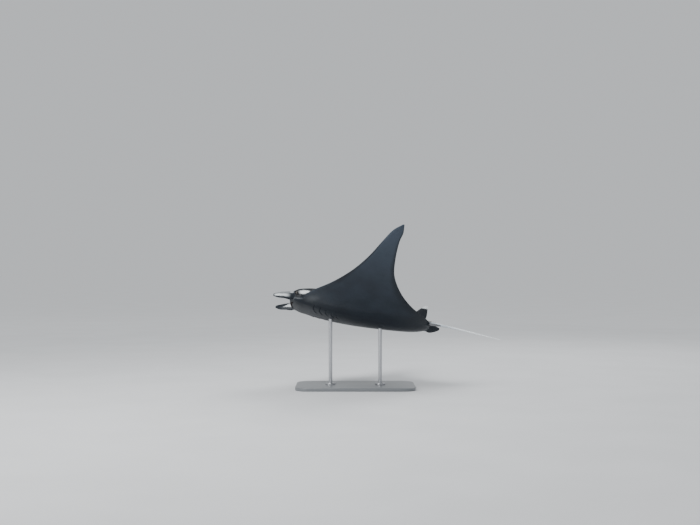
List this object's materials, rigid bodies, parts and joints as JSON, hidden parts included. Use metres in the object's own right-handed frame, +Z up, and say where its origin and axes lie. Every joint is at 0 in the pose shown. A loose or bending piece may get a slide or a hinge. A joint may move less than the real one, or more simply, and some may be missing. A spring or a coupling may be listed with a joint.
{
  "type": "devil ray on a display stand",
  "caption": "Life-size spinetail devil ray, of the manta family, with raised wings, banking on a plain display stand.",
  "frame": {"origin": "centre of the underside of the stand's base, on the floor", "axes": "+Z up, the ray heads along -X, its left side is towards -Y"},
  "size_m": [1.8757, 2.0212, 1.3191],
  "materials": {
    "skin": "smooth dark slate hide with a wet sheen, white patches behind the eyes and on the horn-like fins",
    "eye": "glossy black-brown eye",
    "spine": "bone",
    "steel": "brushed",
    "lacquer": "satin dark grey lacquer"
  },
  "bodies": {
    "root": {"head": "skin", "trunk": "skin", "left_pectoral_fin": "skin", "right_pectoral_fin": "skin", "left_cephalic_fin": "skin", "right_cephalic_fin": "skin", "left_eye": "eye", "right_eye": "eye", "dorsal_fin": "skin", "left_pelvic_fin": "skin", "right_pelvic_fin": "skin", "tail_base": "skin", "tail_middle": "skin", "tail_end": "skin", "tail_spine": "spine", "stand_base": "lacquer", "stand_rod_front": "steel", "stand_rod_rear": "steel", "stand_collar_front": "steel", "stand_collar_rear": "steel"}
  },
  "joints": []
}
